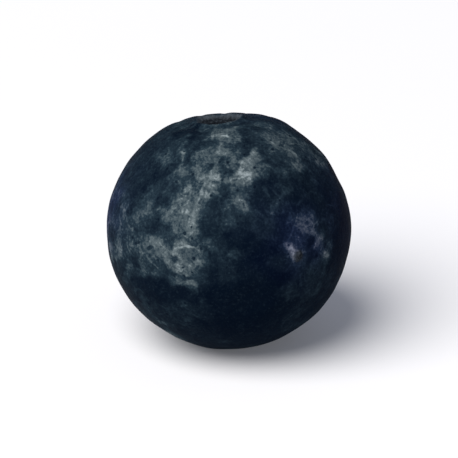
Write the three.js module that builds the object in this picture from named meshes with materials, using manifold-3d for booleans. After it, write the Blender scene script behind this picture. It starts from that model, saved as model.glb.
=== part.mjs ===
// One acai berry, as picked: a round, slightly squat drupe that grew as one piece.
// It sits with its stem end up, leaning back a little. That end has a sunken corky
// scar, the side has a dry speck where the stigma was, and the berry rests on a
// small flat spot. Millimetres, +Z up, the front faces -Y, and the origin is under
// the middle of the berry, on the surface that it rests on.

import * as THREE from "three";
import { mergeVertices } from "three/addons/utils/BufferGeometryUtils.js";
import Module from "manifold-3d";

// Driving dimensions.
const BERRY_WIDTH = 14.0; // across the stem axis
const BERRY_LENGTH = 13.7; // along the stem axis, before the stem end sinks in
const SCAR_RADIUS = 1.35; // from the stem axis to the crest of the scar's rim
const FOOT_RADIUS = 1.7; // of the flat spot that the berry rests on

// Where the stem end points: degrees from the front towards +X, and above level.
const STEM_BEARING = -152;
const STEM_RISE = 78;

// The stem end, in depths and heights measured from the round of the body.
const BASIN = { depth: 0.45, radius: 2.1 };
const RIM = { height: 0.2, width: 0.24, waves: 3, wave: 0.06 };
const SCAR_FLOOR = { depth: 0.14, edge: 0.3 };
const INNER_RING = { height: 0.07, radius: 0.78, width: 0.16 };
const STALK_PIT = { depth: 0.3, radius: 0.36 };

// Shallow creases that run out from the scar over the shoulder.
const CREASE = { depth: 0.05, count: 13, from: 1.7, to: 4.4, sharpness: 3 };

// Slow unevenness of the body: share of the radius, waves round the axis, phase.
const UNEVENNESS = [
  { share: 0.007, waves: 2, phase: 0.6 },
  { share: 0.005, waves: 3, phase: 2.1 },
];

// The upper half is a little wider than the lower, and the shoulder stands fuller
// round the stem end: shares of the radius, and degrees from the stem axis.
const UPPER_FULLNESS = 0.012;
const SHOULDER = { share: 0.018, polar: 28, spread: 11 };

// Soft flats where the berry was pressed by its neighbours: angle from the stem
// end, turn about the axis, and how far the round is taken back.
const PRESSED = [
  { polar: 68, turn: 8, depth: 0.08 },
  { polar: 63, turn: 322, depth: 0.06 },
  { polar: 114, turn: 278, depth: 0.1 },
  { polar: 97, turn: 220, depth: 0.1 },
  { polar: 80, turn: 120, depth: 0.09 },
  { polar: 125, turn: 60, depth: 0.07 },
];
const PRESS_SOFTNESS = 0.05;

// The dry stigma speck on the side.
const STIGMA = { polar: 94, turn: 304, radius: 0.34, height: 0.16, sides: 10, rings: 8 };

// Facets: round the stem axis, and from the scar to the far end, where finer rings
// take up this share of the count within this arc of the stem axis.
const FACETS_ROUND = 72;
const FACET_RINGS = 52;
const FINE_RINGS = { share: 0.42, arc: 2.6 };

const halfWidth = BERRY_WIDTH / 2;
const halfLength = BERRY_LENGTH / 2;
const rad = THREE.MathUtils.degToRad;

// A direction from the berry's middle, in its own frame with the stem end along +Z.
function direction(polar, turn) {
  return new THREE.Vector3(
    Math.sin(polar) * Math.cos(turn),
    Math.sin(polar) * Math.sin(turn),
    Math.cos(polar),
  );
}

// The lower of two heights, with the corner between them rounded.
function softLower(a, b, softness) {
  const blend = Math.max(softness - Math.abs(a - b), 0) / softness;
  return Math.min(a, b) - (blend * blend * softness) / 4;
}

// A smooth hump, 1 at the middle and nothing a few widths away.
function hump(distance, width) {
  return Math.exp(-((distance / width) ** 2));
}

// The squat round of the body with its slow unevenness, as a distance from the middle.
function bodyRadius(polar, turn) {
  const across = Math.sin(polar) / (halfWidth * (1 + UPPER_FULLNESS * Math.cos(polar)));
  const along = Math.cos(polar) / halfLength;
  const round = 1 / Math.hypot(across, along);
  const uneven = UNEVENNESS.reduce(
    (sum, { share, waves, phase }) =>
      sum + share * Math.sin(polar) ** waves * Math.cos(waves * turn + phase),
    0,
  );
  const shoulder = SHOULDER.share * hump(polar - rad(SHOULDER.polar), rad(SHOULDER.spread));
  return round * (1 + uneven + shoulder);
}

// The body with its pressed flats, each a plane across the round.
function pressedRadius(polar, turn) {
  const outward = direction(polar, turn);
  let radius = bodyRadius(polar, turn);
  for (const flat of PRESSED) {
    const facing = outward.dot(direction(rad(flat.polar), rad(flat.turn)));
    if (facing <= 0.5) continue;
    const plane = bodyRadius(rad(flat.polar), rad(flat.turn)) - flat.depth;
    radius = softLower(radius, plane / facing, PRESS_SOFTNESS);
  }
  return radius;
}

// Relief of the stem end at an arc distance from the axis: the basin, the wavy rim,
// the floor inside it with one ring, the pit of the stalk, and the creases outside.
function stemRelief(arc, turn) {
  const rimRadius = SCAR_RADIUS + RIM.wave * Math.cos(RIM.waves * turn);
  const basin = -BASIN.depth * hump(arc, BASIN.radius);
  const rim = RIM.height * hump(arc - rimRadius, RIM.width);
  const inside = 1 - THREE.MathUtils.smoothstep(arc, rimRadius - SCAR_FLOOR.edge, rimRadius);
  const floor = -SCAR_FLOOR.depth * inside;
  const ring = INNER_RING.height * hump(arc - INNER_RING.radius, INNER_RING.width);
  const pit = -STALK_PIT.depth * hump(arc, STALK_PIT.radius);
  const along = (arc - CREASE.from) / (CREASE.to - CREASE.from);
  const fade = along > 0 && along < 1 ? Math.sin(Math.PI * along) : 0;
  const fold = (0.5 + 0.5 * Math.cos(CREASE.count * turn)) ** CREASE.sharpness;
  return basin + rim + floor + ring + pit - CREASE.depth * fade * fold;
}

// A point of the whole surface in the berry's own frame.
function surfacePoint(polar, turn) {
  const radius = pressedRadius(polar, turn) + stemRelief(polar * halfLength, turn);
  return direction(polar, turn).multiplyScalar(radius);
}

// The angle from the stem axis of a ring, with the rings closer at the scar.
function ringAngle(share) {
  const fineAngle = FINE_RINGS.arc / halfLength;
  if (share < FINE_RINGS.share) return (fineAngle * share) / FINE_RINGS.share;
  const rest = (share - FINE_RINGS.share) / (1 - FINE_RINGS.share);
  return fineAngle + (Math.PI - fineAngle) * rest;
}

// The berry's own frame in the part's frame.
function standing() {
  const bearing = rad(STEM_BEARING);
  const rise = rad(STEM_RISE);
  const stem = new THREE.Vector3(
    Math.cos(rise) * Math.sin(bearing),
    -Math.cos(rise) * Math.cos(bearing),
    Math.sin(rise),
  );
  const lean = new THREE.Quaternion().setFromUnitVectors(new THREE.Vector3(0, 0, 1), stem);
  return new THREE.Matrix4().makeRotationFromQuaternion(lean);
}

// The skin as one closed mesh.
function skinGeometry() {
  const geometry = new THREE.SphereGeometry(1, FACETS_ROUND, FACET_RINGS);
  const { position, uv } = geometry.attributes;
  for (let i = 0; i < position.count; i++) {
    const polar = ringAngle(1 - uv.getY(i));
    const column = (i % (FACETS_ROUND + 1)) % FACETS_ROUND;
    const point = surfacePoint(polar, (2 * Math.PI * column) / FACETS_ROUND);
    position.setXYZ(i, point.x, point.y, point.z);
  }
  return geometry;
}

// The stigma speck, a flattened bead sunk half into the side.
function stigmaGeometry() {
  const polar = rad(STIGMA.polar);
  const turn = rad(STIGMA.turn);
  const bead = new THREE.SphereGeometry(STIGMA.radius, STIGMA.sides, STIGMA.rings);
  bead.rotateX(Math.PI / 2);
  bead.scale(1, 1, STIGMA.height / STIGMA.radius);
  const outward = direction(polar, turn);
  const face = new THREE.Quaternion().setFromUnitVectors(new THREE.Vector3(0, 0, 1), outward);
  bead.applyQuaternion(face);
  const seat = surfacePoint(polar, turn);
  bead.translate(seat.x, seat.y, seat.z);
  return bead;
}

const wasm = await Module();
wasm.setup();

// A three.js geometry as a solid.
function solidOf(geometry) {
  const bare = geometry.clone();
  bare.deleteAttribute("normal");
  bare.deleteAttribute("uv");
  const merged = mergeVertices(bare, 1e-3);
  return new wasm.Manifold(
    new wasm.Mesh({
      numProp: 3,
      vertProperties: merged.attributes.position.array,
      triVerts: new Uint32Array(merged.index.array),
    }),
  );
}

// A solid as a three.js geometry.
function geometryOf(solid) {
  const mesh = solid.getMesh();
  const geometry = new THREE.BufferGeometry();
  geometry.setAttribute("position", new THREE.BufferAttribute(mesh.vertProperties, 3));
  geometry.setIndex(new THREE.BufferAttribute(mesh.triVerts, 1));
  geometry.computeVertexNormals();
  return geometry;
}

// The berry set down on its flat spot, with the middle of its box over the origin.
function berryGeometry() {
  const lean = standing();
  const skin = skinGeometry().applyMatrix4(lean);
  const stigma = stigmaGeometry().applyMatrix4(lean);
  skin.computeBoundingBox();
  const floorZ = skin.boundingBox.min.z;
  const sink = halfWidth - Math.sqrt(halfWidth ** 2 - FOOT_RADIUS ** 2);
  const below = new THREE.BoxGeometry(2 * BERRY_WIDTH, 2 * BERRY_WIDTH, BERRY_WIDTH);
  below.translate(0, 0, floorZ + sink - BERRY_WIDTH / 2);
  const whole = solidOf(skin).add(solidOf(stigma));
  const geometry = geometryOf(whole.subtract(solidOf(below)));
  geometry.computeBoundingBox();
  const { min, max } = geometry.boundingBox;
  return geometry.translate(-(min.x + max.x) / 2, -(min.y + max.y) / 2, -min.z);
}

// Dark blue-black skin with a thin dull bloom.
const skinMaterial = new THREE.MeshStandardMaterial({
  color: 0x18222f,
  roughness: 0.55,
  metalness: 0,
});

const berry = new THREE.Mesh(berryGeometry(), skinMaterial);
berry.name = "acai_berry";

const part = new THREE.Group();
part.add(berry);

export default part;
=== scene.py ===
# One acai berry with its marbled bloom, on a pale floor in soft light.
# Shapes are worked out in millimetres and become metres in the mesh. Angles are given in degrees.

import math

import bpy
import numpy as np
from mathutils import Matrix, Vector


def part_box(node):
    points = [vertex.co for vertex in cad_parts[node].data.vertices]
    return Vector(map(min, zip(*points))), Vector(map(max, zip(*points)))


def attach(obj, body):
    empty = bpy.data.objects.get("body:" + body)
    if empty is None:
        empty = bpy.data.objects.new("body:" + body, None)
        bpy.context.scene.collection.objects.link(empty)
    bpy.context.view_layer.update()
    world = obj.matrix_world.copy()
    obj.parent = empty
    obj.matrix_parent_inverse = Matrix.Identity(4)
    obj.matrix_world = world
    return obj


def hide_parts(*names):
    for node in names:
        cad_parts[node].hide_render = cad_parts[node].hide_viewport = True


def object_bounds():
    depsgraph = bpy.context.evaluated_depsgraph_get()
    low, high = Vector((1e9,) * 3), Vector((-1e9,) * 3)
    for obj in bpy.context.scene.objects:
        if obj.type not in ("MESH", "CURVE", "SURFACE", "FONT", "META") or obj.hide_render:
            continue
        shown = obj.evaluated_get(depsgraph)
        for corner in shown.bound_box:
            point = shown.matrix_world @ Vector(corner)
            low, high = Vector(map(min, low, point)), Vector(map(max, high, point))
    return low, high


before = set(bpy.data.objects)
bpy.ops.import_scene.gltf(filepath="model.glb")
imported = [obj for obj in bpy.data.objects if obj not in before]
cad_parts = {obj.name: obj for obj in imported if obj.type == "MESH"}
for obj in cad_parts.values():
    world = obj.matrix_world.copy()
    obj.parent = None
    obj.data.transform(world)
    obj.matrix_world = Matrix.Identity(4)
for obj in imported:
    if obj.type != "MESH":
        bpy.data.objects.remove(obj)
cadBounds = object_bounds()
mm = 0.001
print("frame loaded")


# Small shape tools. Each one takes and gives whole arrays.

def hump(distance, width):
    return np.exp(-((distance / width) ** 2))  # 1 at nothing, fading over a few widths


def smoothStep(value, low, high):
    share = np.clip((value - low) / (high - low), 0, 1)
    return share * share * (3 - 2 * share)  # 0 below low, 1 above high


def softLower(a, b, softness):
    blend = np.maximum(softness - np.abs(a - b), 0) / softness
    return np.minimum(a, b) - blend * blend * softness / 4  # the lower one, corner rounded


def direction(polar, turn):
    # x = sin(polar) cos(turn), y = sin(polar) sin(turn), z = cos(polar)
    return np.stack([np.sin(polar) * np.cos(turn), np.sin(polar) * np.sin(turn), np.cos(polar)], -1)


def waves(points, size, count, seed):
    # Many plane sine waves of about one size in random directions, added up to a spread of 1.
    draw = np.random.default_rng(seed)
    ways = draw.normal(size=(3, count))
    sizes = size * draw.uniform(0.7, 1.4, count)  # from rather smaller to rather larger
    ways *= 2 * math.pi / (sizes * np.linalg.norm(ways, axis=0))
    phases = draw.uniform(0, 2 * math.pi, count)
    return np.sin(points @ ways + phases).sum(-1) / math.sqrt(count / 2)


def rolling(points, setting):
    # Waves as the dictionaries give them: height, size, how many are added up, seed.
    height, size, count, seed = setting
    return height * waves(points, size, count, seed)


def folds(turn, count, sway, sharpness):
    # Sharp waves round the axis: (0.5 + 0.5 cos(count * turn + sway))^sharpness.
    return (0.5 + 0.5 * np.cos(count * turn + sway)) ** sharpness


# The berry. Angles are measured from its stem axis and round it.
berry = {
    "node": "acai_berry",
    "width": 14.0,  # across the stem axis
    "length": 13.7,  # along it, before the stem end sinks in
    "bearing": -152,  # where the stem end points, from the front towards +X
    "rise": 78,  # and above level
    "footRadius": 1.7,
    "footEdge": 0.05,  # rounding where the flat spot begins
    "upperFullness": 0.012,
    "shoulder": (0.018, 28, 11),  # share of the radius, angle, spread
    "uneven": [(0.007, 2, 0.6), (0.005, 3, 2.1)],  # share, waves round, phase
    "pressed": [(68, 8, 0.08), (63, 322, 0.06), (114, 278, 0.10),
                (97, 220, 0.10), (80, 120, 0.09), (125, 60, 0.07)],  # polar, turn, depth
    "pressSoftness": 0.05,
    "pressReach": 0.5,  # cosine of the widest angle that a flat can cut
    "rings": 268,
    "columns": 360,
    "fineShare": 0.42,  # of the rings, within fineArc of the stem axis
    "fineArc": 2.6,
}

stemEnd = {
    "basin": (0.45, 2.1),  # depth, radius
    "scarRadius": 1.35,
    "rim": (0.2, 0.24),  # height, width
    "rimWaves": (3, 0.06),  # count round, how far in and out
    "rimWander": (0.02, 0.12),  # how far it strays, and by what share its height changes
    "floor": (0.14, 0.3),  # depth, width of its edge
    "innerRing": (0.07, 0.78, 0.16),  # height, radius, width
    "pit": (0.3, 0.36),  # depth, radius
    "strands": (0.05, 11, 0.8, 4),  # where the strands broke: depth, count, sway, sharpness
    "strandsAt": (1.02, 0.08),  # radius, width
    "cracks": (0.025, 29, 2.2, 5),  # likewise, in the rim
    "cracksWidth": 0.3,
    "creases": (0.05, 13, 0.5, 3),  # likewise, out over the shoulder
    "creasesReach": (1.7, 4.4),
    "skinStart": (1.2, 2.0),  # where the skin's own relief begins
    # Painted shade: how light the cork is rises with its height, so it darkens down in the scar.
    "corkPaintedShading": (0.46, 2.4),  # at no height, and for each millimetre of it
    "corkEdge": (-0.18, 0.06),  # of the cork, from the crest of the rim
    "corkReach": 3,  # arc past which any cork is the speck's
}

stigma = {
    "polar": 94,  # angle from the stem axis
    "turn": 304,  # and round it
    "radius": 0.3,
    "height": 0.15,
    "edge": (0.35, 1.0),  # where the bump falls, in radii
    "moat": (0.04, 1.5, 0.18),  # depth, place in radii, width
    "dimple": (0.06, 0.1),  # depth, radius
    "corkEdge": (0.7, 1.3),  # in radii
    "corkPaintedShading": 0.35,
    "outline": (0.04, 0.5, 20, 8),  # waves as below
}

# Waves are given by height, size, how many are added up, and seed.
skinRelief = {
    "wander": (1.0, 1.6, 24, 3),
    "lumps": (0.014, 4.2, 36, 11),
    "ripples": (0.006, 1.5, 40, 12),
    "wrinkleDepth": 0.012,
    "wrinkleThinness": 0.14,
    "wrinkleWaves": (1.0, 1.5, 30, 24),
    "wrinkleCurl": [(0.25, 1.9, 16, seed) for seed in (21, 22, 23)],
    "wrinkleCover": (1.0, 4.0, 20, 25),
    "wrinkleFade": (-0.6, 1.0),
    "wrinkleHollow": 0.6,  # how much dust gathers in it, where a crease gathers 1
    "corkRoughness": (0.008, 0.3, 40, 31),
    "corkOutline": (0.03, 0.45, 30, 33),
    "daubCurl": [(0.022, 1.1, 24, seed) for seed in (41, 42)],
    "streakSway": (0.16, 6.0, 16, 45),
}


def bodyRadius(polar, turn):
    # A squat round, 1 / sqrt((sin/a)² + (cos/b)²), times slow waves round the axis and a shoulder.
    halfWidth = berry["width"] / 2 * (1 + berry["upperFullness"] * np.cos(polar))
    body = 1 / np.hypot(np.sin(polar) / halfWidth, np.cos(polar) / (berry["length"] / 2))
    share, place, spread = berry["shoulder"]
    swell = share * hump(polar - math.radians(place), math.radians(spread))
    for share, count, phase in berry["uneven"]:
        swell = swell + share * np.sin(polar) ** count * np.cos(count * turn + phase)
    return body * (1 + swell)


def flatDistance(outward, polar, turn):
    # Distance over the round from a direction, angle * radius, and the cosine of that angle.
    middle = direction(math.radians(polar), math.radians(turn))
    facing = np.clip(outward @ middle, -1, 1)
    return np.arccos(facing) * berry["width"] / 2, facing


def pressedRadius(polar, turn):
    # The body cut softly by planes: plane distance / cosine of the angle to the plane's middle.
    outward = direction(polar, turn)
    radius = bodyRadius(polar, turn)
    reach = berry["pressReach"]
    for flatPolar, flatTurn, depth in berry["pressed"]:
        facing = flatDistance(outward, flatPolar, flatTurn)[1]
        plane = bodyRadius(math.radians(flatPolar), math.radians(flatTurn)) - depth
        cut = softLower(radius, plane / np.maximum(facing, reach), berry["pressSoftness"])
        radius = np.where(facing > reach, cut, radius)
    return radius


def stemRelief(arc, turn, wander):
    # Humps of the arc from the axis: a wide basin, and in it a wavy rim, a floor, a ring, a pit,
    # broken strands and cracks. Creases run outwards. Also gives how light the cork is, what lies
    # inside the rim, the rim's arc and the creases.
    count, wave = stemEnd["rimWaves"]
    stray, change = stemEnd["rimWander"]
    rimArc = stemEnd["scarRadius"] + wave * np.cos(count * turn) + stray * wander
    high, width = stemEnd["rim"]
    fine = high * (1 + change * wander) * hump(arc - rimArc, width)
    depth, edge = stemEnd["floor"]
    inside = 1 - smoothStep(arc, rimArc - edge, rimArc)
    high, place, width = stemEnd["innerRing"]
    fine += high * hump(arc - place, width) - depth * inside
    depth, width = stemEnd["pit"]
    fine -= depth * hump(arc, width)
    depth, count, sway, sharpness = stemEnd["strands"]
    place, width = stemEnd["strandsAt"]
    fine -= depth * folds(turn, count, sway * wander, sharpness) * hump(arc - place, width)
    depth, count, sway, sharpness = stemEnd["cracks"]
    cracks = folds(turn, count, sway * wander, sharpness)
    fine -= depth * cracks * hump(arc - rimArc, stemEnd["cracksWidth"])
    depth, count, sway, sharpness = stemEnd["creases"]
    start, end = stemEnd["creasesReach"]
    along = np.clip((arc - start) / (end - start), 0, 1)
    creases = np.sin(math.pi * along) * folds(turn, count, sway * wander, sharpness)
    basinDepth, width = stemEnd["basin"]
    height = fine - basinDepth * hump(arc, width) - depth * creases
    # Painted shade: the cork is lighter on its crest and darker down in the scar, by height alone.
    level, gain = stemEnd["corkPaintedShading"]
    return height, np.clip(level + gain * fine, 0, 1), inside, rimArc, creases


def speckRelief(speckArc):
    # A flat bump with a moat round it and a dimple in its middle.
    radius = stigma["radius"]
    low, high = stigma["edge"]
    height = stigma["height"] * (1 - smoothStep(speckArc, low * radius, high * radius))
    depth, place, width = stigma["moat"]
    height -= depth * hump(speckArc - place * radius, width)
    depth, width = stigma["dimple"]
    return height - depth * hump(speckArc, width)


def wrinkleLines(body):
    # Thin lines where a curled wave passes nothing, coming and going over the skin.
    curled = body + np.stack([rolling(body, setting) for setting in skinRelief["wrinkleCurl"]], -1)
    lines = hump(rolling(curled, skinRelief["wrinkleWaves"]), skinRelief["wrinkleThinness"])
    return lines * smoothStep(rolling(body, skinRelief["wrinkleCover"]), *skinRelief["wrinkleFade"])


def ringAngles():
    # Two even runs of rings, the closer one over the scar.
    rings = berry["rings"]
    fine = round(rings * berry["fineShare"])
    fineAngle = berry["fineArc"] / (berry["length"] / 2)
    near = np.linspace(0, fineAngle, fine, endpoint=False)
    return np.append(near, np.linspace(fineAngle, math.pi, rings - fine + 1))


def leanMatrix():
    # The least turn that brings +Z to the stem axis.
    bearing, rise = math.radians(berry["bearing"]), math.radians(berry["rise"])
    level = math.cos(rise)
    stem = Vector((level * math.sin(bearing), -level * math.cos(bearing), math.sin(rise)))
    return np.array(Vector((0, 0, 1)).rotation_difference(stem).to_matrix())


def setDown(points):
    # Heights below the flat spot's level come up to it, z = (z + sqrt(z² + edge²)) / 2, and the
    # whole is fitted to the node's box.
    halfWidth = berry["width"] / 2
    level = points[..., 2].min() + halfWidth - math.sqrt(halfWidth ** 2 - berry["footRadius"] ** 2)
    above = points[..., 2] - level
    points[..., 2] = (above + np.sqrt(above ** 2 + berry["footEdge"] ** 2)) / 2
    low, high = (np.array(corner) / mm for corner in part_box(berry["node"]))
    ownLow, ownHigh = points.min((0, 1)), points.max((0, 1))
    return low + (points - ownLow) * (high - low) / (ownHigh - ownLow)


def berryShape():
    # Every point is its direction times a radius, leaned and set down. Also gives the masks for the
    # material, and a place round the stem axis for patterns that run along it.
    turns = np.linspace(0, 2 * math.pi, berry["columns"], endpoint=False)
    polar, turn = np.meshgrid(ringAngles(), turns, indexing="ij")
    outward = direction(polar, turn)
    body = outward * pressedRadius(polar, turn)[..., None]
    arc = polar * berry["length"] / 2
    wander = rolling(body, skinRelief["wander"])
    stemHeight, light, inside, rimArc, creases = stemRelief(arc, turn, wander)
    speckArc = flatDistance(outward, stigma["polar"], stigma["turn"])[0]
    speckArc = speckArc + rolling(body, stigma["outline"])

    wrinkles = wrinkleLines(body)
    skin = rolling(body, skinRelief["lumps"]) + rolling(body, skinRelief["ripples"])
    skin -= skinRelief["wrinkleDepth"] * wrinkles
    onSkin = smoothStep(arc, *stemEnd["skinStart"])
    cork = rolling(body, skinRelief["corkRoughness"]) * inside
    radius = np.linalg.norm(body, axis=-1) + stemHeight + speckRelief(speckArc) + cork + onSkin * skin
    lean = leanMatrix().T
    points = setDown(outward * radius[..., None] @ lean)

    scarEdge = arc - rimArc + rolling(body, skinRelief["corkOutline"])
    speckLow, speckHigh = (edge * stigma["radius"] for edge in stigma["corkEdge"])
    speckCork = 1 - smoothStep(speckArc, speckLow, speckHigh)
    curl = [rolling(body, setting) for setting in skinRelief["daubCurl"]]
    masks = {
        "cork": np.maximum(1 - smoothStep(scarEdge, *stemEnd["corkEdge"]), speckCork),
        # How light the cork is, with painted shade down in the scar; the speck's stays even.
        "corkPaintedShading": np.where(arc < stemEnd["corkReach"], light, stigma["corkPaintedShading"]),
        "hollow": np.clip(creases + skinRelief["wrinkleHollow"] * wrinkles * onSkin, 0, 1),
        "rubbed": rubbedPatches(outward, wander),
        "tinted": softPatches(outward, wander, "tints"),  # from teal to lavender
        **daubedMasks(outward @ lean, curl, bloomShare(outward, arc, speckArc, wander)),
    }
    bent = turn + rolling(body, skinRelief["streakSway"])
    around = np.stack([np.cos(bent), np.sin(bent), arc / bloomPlaces["streakArc"]], -1)
    return points, masks, around


# Where the bloom lies thicker or thinner. Veils, marks and gaps are placed as seen from the front:
# across and up in shares of the radius, length and width likewise, tilt and strength. The other
# places are given by angle from the stem axis, turn, radius and strength.
bloomPlaces = {
    "seenFrom": 24,  # degrees above level
    "fadeIn": (0, 0.25),  # how far a surface has to face that way
    "veils": [(-0.20, 0.44, 0.32, 0.15, 85, 1.0), (-0.35, 0.18, 0.40, 0.17, 82, 0.95),
              (-0.35, -0.20, 0.30, 0.18, -85, 1.0), (-0.64, -0.12, 0.28, 0.17, -12, 0.85),
              (-0.05, 0.76, 0.28, 0.16, -75, 0.95), (0.15, 0.50, 0.24, 0.12, 60, 1.0),
              (0.46, 0.66, 0.40, 0.22, -32, 0.76), (0.08, 0.30, 0.26, 0.16, 75, 0.85),
              (0.36, 0.20, 0.14, 0.10, 60, 0.6), (0.60, 0.06, 0.22, 0.13, -60, 0.6),
              (0.52, -0.14, 0.18, 0.10, -60, 0.75), (0.76, -0.10, 0.18, 0.09, -80, 0.7),
              (-0.68, 0.20, 0.34, 0.16, 78, 0.6), (-0.88, -0.04, 0.36, 0.14, 85, 0.6),
              (-0.45, 0.62, 0.22, 0.14, 45, 0.5), (-0.70, -0.30, 0.20, 0.12, 0, 0.75),
              (-0.78, -0.62, 0.30, 0.14, 50, 0.45),
              (0.30, 0.87, 0.34, 0.09, -18, 0.5), (-0.34, 0.885, 0.22, 0.06, 18, 0.5),
              (0.30, 0.52, 0.14, 0.10, 0, 0.7), (-0.36, 0.54, 0.14, 0.10, 90, 0.8),
              (-0.52, 0.14, 0.14, 0.10, 80, 0.7),
              (0.66, 0.56, 0.20, 0.14, -50, 0.75), (0.40, 0.08, 0.20, 0.14, 0, 0.45),
              (-0.85, 0.38, 0.18, 0.09, 68, 0.45)],
    "marks": [(-0.24, 0.52, 0.20, 0.09, 85, 0.5), (-0.31, 0.12, 0.14, 0.06, 70, 0.6),
              (-0.35, -0.22, 0.16, 0.13, -80, 1.15), (0.06, 0.32, 0.12, 0.06, 60, 0.5),
              (0.13, 0.50, 0.14, 0.07, 60, 0.9), (-0.37, 0.34, 0.12, 0.06, 80, 0.5),
              (-0.06, 0.72, 0.16, 0.06, -65, 0.7), (0.36, 0.20, 0.08, 0.05, 50, 0.5),
              (0.50, -0.18, 0.12, 0.05, -65, 0.85), (0.61, 0.08, 0.12, 0.05, -80, 0.4),
              (0.71, -0.10, 0.12, 0.06, -65, 0.9), (-0.92, -0.20, 0.20, 0.05, 85, 0.7),
              (-0.64, -0.10, 0.16, 0.07, -30, 0.25)],
    # Gaps thin the bloom. Those along the bottom and the right-hand edge are painted shade that darkens
    # the berry there.
    "gapsAndPaintedShade": [(-0.30, 0.80, 0.16, 0.08, 0, 1.0), (0.10, -0.10, 0.16, 0.12, 0, 0.9),
             (-0.62, 0.42, 0.20, 0.07, 80, 0.6), (-0.58, -0.50, 0.20, 0.11, -20, 1.1),
             (0.64, 0.34, 0.22, 0.14, 60, 0.2), (0.30, -0.16, 0.14, 0.12, 0, 0.9),
             (0.62, -0.08, 0.10, 0.04, -70, 0.7), (0.36, 0.38, 0.14, 0.08, 0, 0.7),
             (0.93, -0.12, 0.55, 0.12, 86, 0.9), (-0.12, 0.40, 0.08, 0.05, 0, 0.6),
             (-0.34, -0.54, 0.22, 0.10, 0, 0.9), (-0.86, 0.16, 0.12, 0.06, 80, 0.6),
             (0.10, -0.86, 0.60, 0.22, 0, 0.9), (0.76, -0.62, 0.34, 0.14, 50, 0.8)],
    "rubs": [(63, 318, 2.2, 0.45), (116, 277, 3.4, 1.0), (68, 8, 2.2, 0.7), (97, 220, 1.2, 0.5),
             (80, 120, 2.2, 1.0), (125, 60, 2.6, 1.0), (55, 70, 1.6, 0.7)],
    "rubEdge": (0.4, 1.2),  # in radii
    "bands": [(84, 150, 3.2, 0.9), (70, 62, 3.0, 0.9), (84, 12, 2.6, 0.7), (40, 110, 2.6, 0.8),
              (104, 100, 2.8, 0.8), (140, 190, 3.0, 0.6), (100, 30, 2.2, 0.7), (75, 190, 2.4, 0.8)],
    "tints": [(86, 304, 2.2, 1.0), (84, 345, 2.6, 1.0), (40, 40, 2.6, 1.0), (110, 130, 3.0, 1.0),
              (70, 190, 2.0, 1.0)],
    "wander": {"rubs": 0.35, "bands": 0.4, "tints": 0.3},  # unevenness of their outlines
    "collar": (2.2, 0.7, 0.45),  # round the scar: arc, width, strength
    "halo": (0.5, 0.35, 0.5),  # round the speck, likewise
    "underMarks": 0.85,  # share of a mark that thickens the veil under it
    "streakArc": 46,  # arc in millimetres that counts as one turn of the streaks
}


def rubbedPatches(outward, wander):
    # The most of a soft disc for each place where the bloom was rubbed.
    low, high = bloomPlaces["rubEdge"]
    rubbed = 0
    for polar, turn, radius, strength in bloomPlaces["rubs"]:
        distance = flatDistance(outward, polar, turn)[0] + bloomPlaces["wander"]["rubs"] * wander
        rubbed = np.maximum(rubbed, strength * (1 - smoothStep(distance, low * radius, high * radius)))
    return rubbed


def softPatches(outward, wander, kind):
    # The most of a soft hump for each place of one kind.
    most = 0
    for polar, turn, radius, strength in bloomPlaces[kind]:
        distance = flatDistance(outward, polar, turn)[0] + bloomPlaces["wander"][kind] * wander
        most = np.maximum(most, strength * hump(distance, radius))
    return most


def bloomShare(outward, arc, speckArc, wander):
    # The most of the bands, a collar round the scar and a halo round the speck.
    share = softPatches(outward, wander, "bands")
    place, width, strength = bloomPlaces["collar"]
    share = np.maximum(share, strength * hump(arc - place, width))
    place, width, strength = bloomPlaces["halo"]
    return np.maximum(share, strength * hump(speckArc - place, width))


def daubs(leaned, spots, curl):
    # The most of an oblong hump for each spot, on the side that faces the front, with curled edges.
    lift = math.radians(bloomPlaces["seenFrom"])
    across = leaned[..., 0] + curl[0]
    upward = leaned[..., 1] * math.sin(lift) + leaned[..., 2] * math.cos(lift) + curl[1]
    facing = leaned[..., 2] * math.sin(lift) - leaned[..., 1] * math.cos(lift)
    most = 0
    for x, y, length, width, tilt, strength in spots:
        c, s = math.cos(math.radians(tilt)), math.sin(math.radians(tilt))
        along = (across - x) * c + (upward - y) * s
        aside = (upward - y) * c - (across - x) * s
        most = np.maximum(most, strength * hump(np.hypot(along / length, aside / width), 1))
    return most * smoothStep(facing, *bloomPlaces["fadeIn"])


def daubedMasks(leaned, curl, share):
    # Marks, gaps, and where the bloom lies thick: the most of a share, the veils and part of the marks.
    marks, veils, gapsAndPaintedShade = (daubs(leaned, bloomPlaces[kind], curl) for kind in ("marks", "veils", "gapsAndPaintedShade"))
    thick = np.maximum(np.maximum(share, veils), bloomPlaces["underMarks"] * marks)
    return {"marks": marks, "gapsAndPaintedShade": gapsAndPaintedShade, "thick": thick}


def closedMesh(name, points):
    # Rings of quads, with the first and last ring drawn together into one vertex each.
    rings, columns = points.shape[0] - 2, points.shape[1]
    inner = points[1:-1].reshape(-1, 3)
    corners = np.vstack([inner, points[0].mean(0), points[-1].mean(0)]) * mm
    here = np.arange(rings * columns).reshape(rings, columns)
    beside = np.roll(here, -1, 1)
    quads = np.stack([here[:-1], here[1:], beside[1:], beside[:-1]], -1).reshape(-1, 4)
    top, bottom = rings * columns, rings * columns + 1
    fans = [(top, int(a), int(b)) for a, b in zip(here[0], beside[0])]
    fans += [(bottom, int(b), int(a)) for a, b in zip(here[-1], beside[-1])]
    mesh = bpy.data.meshes.new(name)
    mesh.from_pydata(corners.tolist(), [], quads.tolist() + fans)
    mesh.shade_smooth()
    return mesh


def storeField(mesh, name, values, kind):
    # One value for each vertex, in the order of closedMesh.
    inner = values[1:-1].reshape(-1, *values.shape[2:])
    flat = np.concatenate([inner, values[:1].mean(1), values[-1:].mean(1)]).astype(np.float32)
    field = mesh.attributes.new(name, kind, "POINT")
    field.data.foreach_set("vector" if kind == "FLOAT_VECTOR" else "value", flat.ravel())


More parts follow.
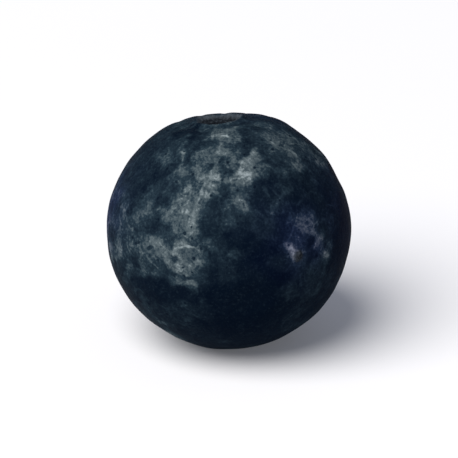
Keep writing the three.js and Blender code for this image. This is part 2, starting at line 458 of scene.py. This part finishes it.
def makeBerry():
    points, masks, around = berryShape()
    mesh = closedMesh("berrySkin", points)
    for name, values in masks.items():
        storeField(mesh, name, values, "FLOAT")
    storeField(mesh, "aroundStem", around, "FLOAT_VECTOR")
    skin = bpy.data.objects.new("berry_skin", mesh)
    bpy.context.scene.collection.objects.link(skin)
    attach(skin, "root")
    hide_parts(berry["node"])
    print("berry made:", len(mesh.vertices), "vertices")
    return skin


# Small tools for node trees. A value may be a number or the socket that gives it.

def feed(tree, socket, value):
    if isinstance(value, bpy.types.NodeSocket):
        tree.links.new(value, socket)
    else:
        socket.default_value = value


def mathOf(tree, operation, *values, clamp=False):
    node = tree.nodes.new("ShaderNodeMath")
    node.operation = operation
    node.use_clamp = clamp
    for socket, value in zip(node.inputs, values):
        feed(tree, socket, value)
    return node.outputs[0]


def chainOf(tree, operation, total, *values):
    for value in values:
        total = mathOf(tree, operation, total, value)
    return total


def vectorOf(tree, operation, first, second):
    node = tree.nodes.new("ShaderNodeVectorMath")
    node.operation = operation
    feed(tree, node.inputs[0], first)
    feed(tree, node.inputs["Scale" if operation == "SCALE" else 1], second)
    return node.outputs[0]


def mapOf(tree, value, low, high, start=0.0, end=1.0):
    node = tree.nodes.new("ShaderNodeMapRange")
    node.interpolation_type = "SMOOTHSTEP"
    for socket, given in zip(node.inputs, (value, low, high, start, end)):
        feed(tree, socket, given)
    return node.outputs[0]


def fadeOf(tree, mask, ends):
    return mapOf(tree, mask, 0, 1, *ends)  # from the first end, where the mask is 0, to the second


def mixOf(tree, share, a, b):
    node = tree.nodes.new("ShaderNodeMix")
    node.data_type = "RGBA"
    feed(tree, node.inputs["Factor"], share)
    feed(tree, node.inputs["A"], a)
    feed(tree, node.inputs["B"], b)
    return node.outputs["Result"]


def rampOf(tree, value, stops):
    node = tree.nodes.new("ShaderNodeValToRGB")
    ramp = node.color_ramp
    for index, (place, colour) in enumerate(stops):
        stop = ramp.elements[index] if index < 2 else ramp.elements.new(place)
        stop.position, stop.color = place, colour
    feed(tree, node.inputs["Fac"], value)
    return node.outputs["Color"]


def noiseOf(tree, vector, size, detail=3.0, rough=0.5):
    node = tree.nodes.new("ShaderNodeTexNoise")
    feed(tree, node.inputs["Vector"], vector)
    feed(tree, node.inputs["Scale"], mathOf(tree, "DIVIDE", 1.0, size))
    node.inputs["Detail"].default_value = detail
    node.inputs["Roughness"].default_value = rough
    return node


def newGroup(name, inputs, output):
    # Gives the group's tree, its inputs and its output. An input is a vector where its value is one.
    group = bpy.data.node_groups.new(name, "ShaderNodeTree")
    for label, value in inputs.items():
        kind = "NodeSocketVector" if isinstance(value, tuple) else "NodeSocketFloat"
        socket = group.interface.new_socket(label, in_out="INPUT", socket_type=kind)
        socket.default_value = value
    group.interface.new_socket(output, in_out="OUTPUT", socket_type="NodeSocketFloat")
    given = group.nodes.new("NodeGroupInput").outputs
    return group, given, group.nodes.new("NodeGroupOutput").inputs[output]


def placeGroup(tree, group, **values):
    node = tree.nodes.new("ShaderNodeGroup")
    node.node_tree = group
    for label, value in values.items():
        feed(tree, node.inputs[label], value)
    return node.outputs[0]


def warped(tree, vector, size, amount, slower=1.3):
    # The vector pushed aside by a slower noise, less its middle, which curls what is drawn on it.
    push = noiseOf(tree, vector, mathOf(tree, "MULTIPLY", size, slower), detail=2.0).outputs["Color"]
    push = vectorOf(tree, "SUBTRACT", push, (0.5, 0.5, 0.5))
    return vectorOf(tree, "ADD", vector, vectorOf(tree, "SCALE", push, amount))


def raggedPatches():
    # Powdery edges: share + push * (curled noise - 1/2), cut softly between two levels.
    inputs = {"Vector": (0, 0, 0), "Share": 0.5, "Size": 1.0, "Warp": 0.5, "Push": 1.0,
              "Low": 0.4, "High": 0.6}
    tree, given, mask = newGroup("raggedPatches", inputs, "Mask")
    curled = warped(tree, given["Vector"], given["Size"], given["Warp"])
    noise = noiseOf(tree, curled, given["Size"], detail=6.0, rough=0.62).outputs["Fac"]
    push = mathOf(tree, "MULTIPLY", mathOf(tree, "SUBTRACT", noise, 0.5), given["Push"])
    share = mathOf(tree, "ADD", given["Share"], push)
    feed(tree, mask, mapOf(tree, share, given["Low"], given["High"]))
    return tree


def swirls():
    # Curling bands where curled noise passes one half: 1 - |noise - 1/2| / width.
    inputs = {"Vector": (0, 0, 0), "Size": 2.0, "Warp": 1.0, "Width": 0.05}
    tree, given, bands = newGroup("swirls", inputs, "Bands")
    curled = warped(tree, given["Vector"], given["Size"], given["Warp"])
    noise = noiseOf(tree, curled, given["Size"], detail=2.0).outputs["Fac"]
    away = mathOf(tree, "ABSOLUTE", mathOf(tree, "SUBTRACT", noise, 0.5))
    away = mathOf(tree, "DIVIDE", away, given["Width"])
    feed(tree, bands, mathOf(tree, "SUBTRACT", 1.0, away, clamp=True))
    return tree


def scatteredDots(fullShare=0.4):
    # A dot round each random point, its radius drawn by chance: 1 in its middle and 0 outside.
    inputs = {"Vector": (0, 0, 0), "Spacing": 0.5, "Radius": 0.3, "Chance": 0.5}
    tree, given, dots = newGroup("scatteredDots", inputs, "Dots")
    cells = tree.nodes.new("ShaderNodeTexVoronoi")
    feed(tree, cells.inputs["Vector"], given["Vector"])
    feed(tree, cells.inputs["Scale"], mathOf(tree, "DIVIDE", 1.0, given["Spacing"]))
    drawn = tree.nodes.new("ShaderNodeSeparateColor")
    tree.links.new(cells.outputs["Color"], drawn.inputs[0])
    misses = mathOf(tree, "SUBTRACT", 1.0, given["Chance"])
    reach = mathOf(tree, "MULTIPLY", mapOf(tree, drawn.outputs["Red"], misses, 1.0), given["Radius"])
    middle = mathOf(tree, "MULTIPLY", reach, fullShare)
    feed(tree, dots, mapOf(tree, cells.outputs["Distance"], middle, reach, 1.0, 0.0))
    return tree


def scratches(dots):
    # Dots in a space that is turned and stretched along one axis: thin strokes at random places.
    inputs = {"Vector": (0, 0, 0), "Turn": (0, 0, 0), "Length": 4.0, "Width": 0.2, "Chance": 0.2}
    tree, given, lines = newGroup("scratches", inputs, "Lines")
    turned = tree.nodes.new("ShaderNodeVectorRotate")
    turned.rotation_type = "EULER_XYZ"
    feed(tree, turned.inputs["Vector"], given["Vector"])
    feed(tree, turned.inputs["Rotation"], given["Turn"])
    spacing = tree.nodes.new("ShaderNodeCombineXYZ")
    for socket, label in zip(spacing.inputs, ("Length", "Width", "Width")):
        feed(tree, socket, given[label])
    stretched = vectorOf(tree, "DIVIDE", turned.outputs[0], spacing.outputs[0])
    strokes = placeGroup(tree, dots, Vector=stretched, Spacing=1.0, Radius=0.5, Chance=given["Chance"])
    feed(tree, lines, strokes)
    return tree


def tone(red, green, blue):
    # A colour as a picker shows it, 0 to 255, made linear: ((c + 0.055) / 1.055)^2.4 of its share
    # of 255, or c / 12.92 near black.
    shares = np.array([red, green, blue]) / 255
    linear = np.where(shares > 0.04, ((shares + 0.055) / 1.055) ** 2.4, shares / 12.92)
    return (*linear.tolist(), 1)


skinLook = {
    "tealRamp": [(0.0, tone(4, 12, 25)), (0.3, tone(35, 49, 58)),
                 (0.62, tone(78, 89, 93)), (1.0, tone(142, 152, 155))],  # from bare to thickest
    "lavenderRamp": [(0.0, tone(4, 10, 28)), (0.3, tone(29, 40, 62)),
                     (0.62, tone(74, 80, 98)), (1.0, tone(138, 142, 158))],
    "cork": tone(72, 79, 86),
    # The dark of the cork, where its grain is dark and, as painted shade, down in the scar.
    "corkGrainAndShade": tone(20, 23, 28),  # in its hollows
    "bareRoughness": 0.6,
    "bloomRoughness": 1.0,
    "dullBloom": 0.8,  # thickness at which the skin is as rough as bloom
    "corkRoughness": 0.8,
    "gloss": 0.006,
    "glossTint": (0.3, 0.6, 1.0, 1),
    "pores": (0.28, 3.0, 0.6),  # size, detail and roughness of the noise
    "poreHeight": (0.035, 0.06),  # on skin, on cork
    "lines": (0.03, 2.0, 0.5),  # as the pores, the size in turns round the stem axis
    "lineHeight": 0.025,
}

# The patterns in the bloom and the cork. Warp curls one, Push frays its share, and Low and High
# are the levels that it is cut between.
skinPatterns = {
    "clouds": {"Size": 2.6, "Warp": 1.8, "Low": 0.4, "High": 0.62},
    "crust": {"Size": 1.1, "Warp": 0.9, "Low": 0.49, "High": 0.56},
    "streaks": {"Size": 0.075, "Warp": 0.04, "Low": 0.4, "High": 0.6},
    "rubs": {"Size": 1.2, "Warp": 1.0, "Push": 1.6, "Low": 0.05, "High": 1.0},
    "veils": {"Size": 2.1, "Warp": 1.4, "Push": 1.5, "Low": 0.18, "High": 0.85},
    "marks": {"Size": 0.8, "Warp": 0.4, "Push": 1.2, "Low": 0.3, "High": 0.75},
    "gapsAndPaintedShade": {"Size": 0.9, "Warp": 0.6, "Push": 1.4, "Low": 0.1, "High": 0.9},
    "wideBands": {"Size": 2.4, "Warp": 2.6, "Width": 0.1},
    "narrowBands": {"Size": 1.2, "Warp": 1.4, "Width": 0.12},
    "marbling": {"Size": 0.8, "Warp": 0.5, "Push": 2.6, "Low": 0.55, "High": 1.15},
    "threads": {"Size": 0.5, "Warp": 0.3, "Push": 2.6, "Low": 0.7, "High": 1.2},
    "holes": {"Spacing": 0.5, "Radius": 0.3, "Chance": 0.6},
    "grit": {"Spacing": 0.8, "Radius": 0.14, "Chance": 0.3},
    "grains": {"Size": 0.15, "Warp": 0.04, "Push": 1.5, "Low": 0.0, "High": 1.15},
    "corkGrain": {"Size": 0.16, "Warp": 0.1, "Push": 1.2, "Low": 0.1, "High": 0.95},
    "scratchBend": (3.0, 1.6),  # size, amount
    "scratches": [{"Turn": (0.3, 0.5, 1.1), "Length": 6.0, "Width": 0.5, "Chance": 0.4},
                  {"Turn": (0.8, 1.3, 0.2), "Length": 7.0, "Width": 0.6, "Chance": 0.35}],
}

# How thick the bloom is, from nothing to 1. A pair is the value outside a pattern and in it.
bloomAmounts = {
    "veils": (0.21, 0.385),  # with the clouds
    "veilStreaks": (0.84, 1.12),  # times that, with the streaks
    "crust": (0.05, 0.15),  # with the veils, as the next two
    "marbling": (0.15, 0.28),
    "threads": (0.08, 0.16),
    "film": 0.1,  # everywhere
    "marks": (0.14, 0.2),  # with the crust
    "gapsAndPaintedShade": (1.0, 0.25),  # times what is there, as the next three
    "rubs": (1.0, 0.15),
    "holes": (1.0, 0.35),
    "scratches": (1.0, 0.35),
    "scratchDust": 0.05,
    "hollowDust": 0.06,
    "even": 0.55,  # share that stays even
    "grains": 0.5,  # share that breaks up into grains
    "grit": 0.14,
}


def skinFields(tree):
    # What the mesh stores for its vertices, by name.
    fields = {}
    for name in ("cork", "corkPaintedShading", "hollow", "rubbed", "thick", "tinted", "marks", "gapsAndPaintedShade",
                 "aroundStem"):
        node = tree.nodes.new("ShaderNodeAttribute")
        node.attribute_name = name
        fields[name] = node.outputs["Vector" if name == "aroundStem" else "Fac"]
    return fields


def inMillimetres(tree):
    # Places on the object, for patterns that are sized in millimetres.
    coords = tree.nodes.new("ShaderNodeTexCoord")
    mapping = tree.nodes.new("ShaderNodeMapping")
    mapping.inputs["Scale"].default_value = (1 / mm, 1 / mm, 1 / mm)
    tree.links.new(coords.outputs["Object"], mapping.inputs["Vector"])
    return mapping.outputs["Vector"]


def patternOf(tree, group, name, vector, **values):
    return placeGroup(tree, group, Vector=vector, **skinPatterns[name], **values)


def scratchLines(tree, place, dots):
    # The most of two sets of strokes, bent a little.
    group = scratches(dots)
    bent = warped(tree, place, *skinPatterns["scratchBend"])
    most = 0.0
    for setting in skinPatterns["scratches"]:
        most = mathOf(tree, "MAXIMUM", most, placeGroup(tree, group, Vector=bent, **setting))
    return most


def bloomThickness(tree, place, field, ragged):
    # (veils + most of crust, marbling and threads + film) * gaps * rubs + marks, times holes and
    # scratches, plus dust. Part of it is then broken up into grains, and grit lies on top.
    amount = bloomAmounts
    bands, dots = swirls(), scatteredDots()
    clouds = patternOf(tree, ragged, "clouds", place)
    streaks = patternOf(tree, ragged, "streaks", field["aroundStem"])
    crust = patternOf(tree, ragged, "crust", place)
    veils = patternOf(tree, ragged, "veils", place, Share=field["thick"])
    marks = patternOf(tree, ragged, "marks", place, Share=field["marks"])
    gapsAndPaintedShade = patternOf(tree, ragged, "gapsAndPaintedShade", place, Share=field["gapsAndPaintedShade"])
    rubs = patternOf(tree, ragged, "rubs", place, Share=field["rubbed"])
    wide = patternOf(tree, bands, "wideBands", place)
    narrow = patternOf(tree, bands, "narrowBands", place)
    marbling = patternOf(tree, ragged, "marbling", place, Share=wide)
    threads = patternOf(tree, ragged, "threads", place, Share=narrow)
    holes = patternOf(tree, dots, "holes", place)
    grit = patternOf(tree, dots, "grit", place)
    lines = scratchLines(tree, place, dots)

    veiled = chainOf(tree, "MULTIPLY", veils, fadeOf(tree, clouds, amount["veils"]),
                     fadeOf(tree, streaks, amount["veilStreaks"]))
    crusted = mathOf(tree, "MULTIPLY", crust, fadeOf(tree, veils, amount["crust"]))
    marbled = mathOf(tree, "MULTIPLY", marbling, fadeOf(tree, veils, amount["marbling"]))
    threaded = mathOf(tree, "MULTIPLY", threads, fadeOf(tree, veils, amount["threads"]))
    most = chainOf(tree, "MAXIMUM", crusted, marbled, threaded)
    total = chainOf(tree, "ADD", veiled, most, amount["film"])
    # Gaps thin the bloom, and along the bottom and the right-hand edge they are painted shade.
    total = chainOf(tree, "MULTIPLY", total, fadeOf(tree, gapsAndPaintedShade, amount["gapsAndPaintedShade"]),
                    fadeOf(tree, rubs, amount["rubs"]))
    bright = mathOf(tree, "MULTIPLY", marks, fadeOf(tree, crust, amount["marks"]))
    total = mathOf(tree, "ADD", total, bright)
    total = chainOf(tree, "MULTIPLY", total, fadeOf(tree, holes, amount["holes"]),
                    fadeOf(tree, lines, amount["scratches"]))
    total = chainOf(tree, "ADD", total, mathOf(tree, "MULTIPLY", lines, amount["scratchDust"]),
                    mathOf(tree, "MULTIPLY", field["hollow"], amount["hollowDust"]))

    grains = patternOf(tree, ragged, "grains", place, Share=total)
    total = mathOf(tree, "ADD", mathOf(tree, "MULTIPLY", total, amount["even"]),
                   mathOf(tree, "MULTIPLY", grains, amount["grains"]))
    return mathOf(tree, "ADD", total, mathOf(tree, "MULTIPLY", grit, amount["grit"]), clamp=True)


def skinBump(tree, place, field):
    # Pores, deeper on the cork, and fine lines that run from the stem end.
    pores = noiseOf(tree, place, *skinLook["pores"]).outputs["Fac"]
    height = mathOf(tree, "MULTIPLY", pores, fadeOf(tree, field["cork"], skinLook["poreHeight"]))
    lines = noiseOf(tree, field["aroundStem"], *skinLook["lines"]).outputs["Fac"]
    height = mathOf(tree, "ADD", height, mathOf(tree, "MULTIPLY", lines, skinLook["lineHeight"]))
    bump = tree.nodes.new("ShaderNodeBump")
    bump.inputs["Distance"].default_value = mm
    tree.links.new(height, bump.inputs["Height"])
    return bump.outputs["Normal"]


def skinMaterial():
    material = bpy.data.materials.new("bloomed skin")
    material.use_nodes = True
    tree = material.node_tree
    shader = tree.nodes["Principled BSDF"]
    place, field, ragged = inMillimetres(tree), skinFields(tree), raggedPatches()

    bloom = bloomThickness(tree, place, field, ragged)
    teal = rampOf(tree, bloom, skinLook["tealRamp"])
    lavender = rampOf(tree, bloom, skinLook["lavenderRamp"])
    bloomed = mixOf(tree, field["tinted"], teal, lavender)
    # The cork's grain, pushed darker down in the scar as painted shade.
    corkGrain = patternOf(tree, ragged, "corkGrain", place, Share=field["corkPaintedShading"])
    corkColour = mixOf(tree, corkGrain, skinLook["corkGrainAndShade"], skinLook["cork"])
    tree.links.new(mixOf(tree, field["cork"], bloomed, corkColour), shader.inputs["Base Color"])

    ends = skinLook["bareRoughness"], skinLook["bloomRoughness"]
    rough = mapOf(tree, bloom, 0, skinLook["dullBloom"], *ends)
    corkRough = mathOf(tree, "MULTIPLY", field["cork"], skinLook["corkRoughness"])
    tree.links.new(mathOf(tree, "MAXIMUM", rough, corkRough), shader.inputs["Roughness"])
    shader.inputs["Specular IOR Level"].default_value = skinLook["gloss"]
    shader.inputs["Specular Tint"].default_value = skinLook["glossTint"]
    tree.links.new(skinBump(tree, place, field), shader.inputs["Normal"])
    return material


berrySkin = makeBerry()
berrySkin.data.materials.append(skinMaterial())
print("skin material made")


# Floor, light and camera.
studio = {
    "floorSize": 6.0,  # metres
    "floorColour": (0.77, 0.765, 0.775, 1),
    "floorRoughness": 0.9,
    "floorGloss": 0.1,
    "floorGlow": (0.92, 0.94, 1.0, 1),  # a table lit faintly from beneath, so that shadows stay light
    "floorGlowStrength": 0.1,
    "backColour": (1.0, 1.0, 1.0, 1),
    "fillColour": (0.71, 0.78, 1.0, 1),
    "fill": 0.232,
    "keyColour": (1.0, 0.985, 0.96),
    "keyFrom": (-0.46, -0.46, 0.88),  # direction from the berry
    "keyAim": 0.0065,  # metres above the floor, the middle of the berry
    "keyDistance": 1.2,
    "keySize": 1.15,
    "keyBrightness": 1.62,  # of a white card that faces the light
}

view = {
    "elevation": 24,
    "distance": 0.493,  # metres, as far as the photograph's camera
    "photoLens": 70,  # that fits the photograph's own perspective
    "photoShare": 25.7 / 458,  # of the photograph's width that the berry takes
    "share": 0.54,  # of this picture's width that it takes
    "nearest": 0.01,  # metres from the camera that it starts to see
}


def makeFloor():
    half = studio["floorSize"] / 2
    mesh = bpy.data.meshes.new("floor")
    corners = [(-half, -half, 0), (half, -half, 0), (half, half, 0), (-half, half, 0)]
    mesh.from_pydata(corners, [], [(0, 1, 2, 3)])
    floor = bpy.data.objects.new("floor", mesh)
    bpy.context.scene.collection.objects.link(floor)
    material = bpy.data.materials.new("pale floor")
    material.use_nodes = True
    shader = material.node_tree.nodes["Principled BSDF"]
    shader.inputs["Base Color"].default_value = studio["floorColour"]
    shader.inputs["Roughness"].default_value = studio["floorRoughness"]
    shader.inputs["Specular IOR Level"].default_value = studio["floorGloss"]
    shader.inputs["Emission Color"].default_value = studio["floorGlow"]
    shader.inputs["Emission Strength"].default_value = studio["floorGlowStrength"]
    mesh.materials.append(material)


def makeLight():
    light = bpy.data.lights.new("key", "AREA")
    light.shape = "DISK"
    light.size = studio["keySize"]
    distance = studio["keyDistance"]
    light.energy = studio["keyBrightness"] * math.pi ** 2 * distance ** 2
    light.color = studio["keyColour"]
    key = bpy.data.objects.new("key", light)
    bpy.context.scene.collection.objects.link(key)
    towards = Vector(studio["keyFrom"]).normalized()
    key.location = Vector((0, 0, studio["keyAim"])) + towards * distance
    key.rotation_euler = towards.to_track_quat("Z", "Y").to_euler()
    key.visible_camera = False

    world = bpy.data.worlds.new("studio")
    bpy.context.scene.world = world
    world.use_nodes = True
    tree = world.node_tree
    back = tree.nodes["Background"]
    back.inputs["Color"].default_value = studio["backColour"]
    soft = tree.nodes.new("ShaderNodeBackground")
    soft.inputs["Color"].default_value = studio["fillColour"]
    soft.inputs["Strength"].default_value = studio["fill"]
    path = tree.nodes.new("ShaderNodeLightPath")
    mix = tree.nodes.new("ShaderNodeMixShader")
    tree.links.new(path.outputs["Is Camera Ray"], mix.inputs[0])
    tree.links.new(soft.outputs[0], mix.inputs[1])
    tree.links.new(back.outputs[0], mix.inputs[2])
    tree.links.new(mix.outputs[0], tree.nodes["World Output"].inputs["Surface"])


def makeCamera():
    low, high = cadBounds
    lift = math.radians(view["elevation"])
    back = Vector((0, -math.cos(lift), math.sin(lift)))
    data = bpy.data.cameras.new("camera")
    data.lens = view["photoLens"] * view["share"] / view["photoShare"]
    data.clip_start = view["nearest"]
    camera = bpy.data.objects.new("camera", data)
    bpy.context.scene.collection.objects.link(camera)
    camera.location = (low + high) / 2 + back * view["distance"]
    camera.rotation_euler = back.to_track_quat("Z", "Y").to_euler()
    bpy.context.scene.camera = camera


makeFloor()
makeLight()
makeCamera()
bpy.context.scene.view_settings.view_transform = "Standard"
print("studio made")
